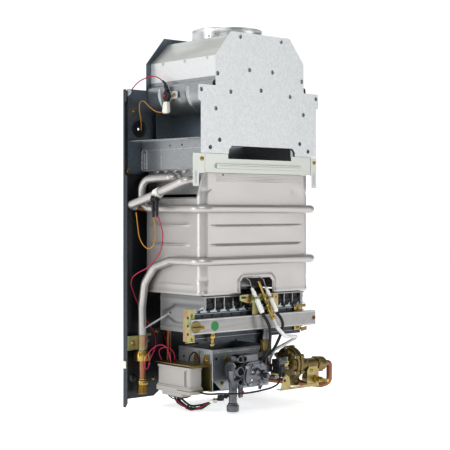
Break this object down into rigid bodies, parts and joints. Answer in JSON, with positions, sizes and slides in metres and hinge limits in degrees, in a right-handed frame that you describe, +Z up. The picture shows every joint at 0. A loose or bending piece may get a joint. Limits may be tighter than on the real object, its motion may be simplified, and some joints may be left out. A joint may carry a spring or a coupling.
{
  "type": "gas water heater",
  "caption": "Wall-hung natural-draught instantaneous gas water heater without its front casing, with flue hood, coil-wound chamber, burner and valves.",
  "frame": {"origin": "middle of the back panel's rear face, on the wall", "axes": "+X to the right seen from the front, +Y into the wall, +Z up towards the flue"},
  "size_m": [0.3492, 0.246, 0.6895],
  "materials": {
    "galvanised_sheet": "zinc spangle, semi-gloss",
    "shaded_sheet": "galvanised, semi-matt",
    "silver_paint": "satin aluminium paint",
    "cream_steel": "satin",
    "brass": "machined",
    "dark_brass": "cast, dulled",
    "zinc_passivated": "yellow passivated zinc, iridescent",
    "aluminium": "extruded, satin",
    "die_cast": "die cast, dull",
    "copper": "copper tube, tarnished",
    "black_plastic": "matt",
    "rubber": "matt",
    "burner_black": "heat blackened",
    "ceramic": "glazed ceramic",
    "grey_plastic": "moulded",
    "red_wire": "insulated wire",
    "orange_wire": "insulated wire"
  },
  "bodies": {
    "chassis": {"back_panel": "shaded_sheet", "hood_back_plate": "shaded_sheet", "hood_front_plate": "galvanised_sheet", "hood_wrap": "galvanised_sheet", "flue_collar": "galvanised_sheet", "deflector_left": "galvanised_sheet", "deflector_right": "galvanised_sheet", "exchanger_skirt": "galvanised_sheet", "front_cross_strip": "cream_steel", "strip_bracket_left": "cream_steel", "strip_bracket_right": "cream_steel", "fin_block": "silver_paint", "combustion_chamber": "silver_paint", "coil_upper_turn": "silver_paint", "coil_lower_turn": "silver_paint", "cold_feed_pipe": "silver_paint", "copper_pipe": "copper", "pipe_clamp": "zinc_passivated", "hot_union_nut": "brass", "hot_outlet_tail": "brass", "burner_box": "silver_paint", "burner_rack": "burner_black", "burner_channel": "galvanised_sheet", "manifold_bar": "aluminium", "manifold_plug": "dark_brass", "manifold_bracket_left": "zinc_passivated", "manifold_bracket_right": "zinc_passivated", "test_nipple": "brass", "gas_riser": "die_cast", "valve_tray": "galvanised_sheet", "gas_valve_body": "die_cast", "gas_valve_cover": "die_cast", "water_valve_cover": "dark_brass", "diaphragm": "rubber", "water_valve_body": "dark_brass", "cold_union_nut": "brass", "water_valve_bracket": "zinc_passivated", "microswitch": "black_plastic", "pilot_burner": "brass", "ignition_electrode": "ceramic", "flame_electrode": "ceramic", "pilot_bracket": "zinc_passivated", "pilot_tube": "ceramic", "ignition_lead": "rubber", "flame_lead": "rubber", "igniter_box": "grey_plastic", "igniter_bracket": "zinc_passivated", "spill_thermostat": "black_plastic", "overheat_thermostat": "black_plastic", "spill_wire_red": "red_wire", "spill_wire_orange": "orange_wire", "overheat_wire_orange": "orange_wire", "overheat_wire_red": "red_wire", "microswitch_cable": "rubber", "igniter_harness": "rubber"},
    "gas_tap": {"gas_spindle": "die_cast"},
    "water_tap": {"water_spindle": "brass"},
    "push_rod": {"push_rod": "brass"},
    "switch_plunger": {"microswitch_plunger": "red_wire"},
    "reset": {"reset_button": "red_wire"}
  },
  "joints": [
    {"name": "gas_tap_turn", "type": "hinge", "parent": "chassis", "child": "gas_tap", "pos_m": [-0.0095, -0.23, -0.2315], "axis": [0, -1, 0], "range_deg": [-180, 0]},
    {"name": "water_tap_turn", "type": "hinge", "parent": "chassis", "child": "water_tap", "pos_m": [0.123, -0.23, -0.2505], "axis": [0, -1, 0], "range_deg": [0, 270]},
    {"name": "push_rod_slide", "type": "slide", "parent": "chassis", "child": "push_rod", "axis": [-1, 0, 0], "range_m": [0, 0.0035], "stiffness_N_per_m": 400, "springref_m": -0.001},
    {"name": "switch_plunger_slide", "type": "slide", "parent": "chassis", "child": "switch_plunger", "axis": [-1, 0, 0], "range_m": [0, 0.0033]},
    {"name": "reset_button_press", "type": "slide", "parent": "chassis", "child": "reset", "axis": [1, 0, 0], "range_m": [0, 0.0012], "stiffness_N_per_m": 300, "springref_m": -0.0005}
  ],
  "couplings": [
    {"joint": "switch_plunger_slide", "follows": "push_rod_slide", "ratio": 0.9}
  ]
}
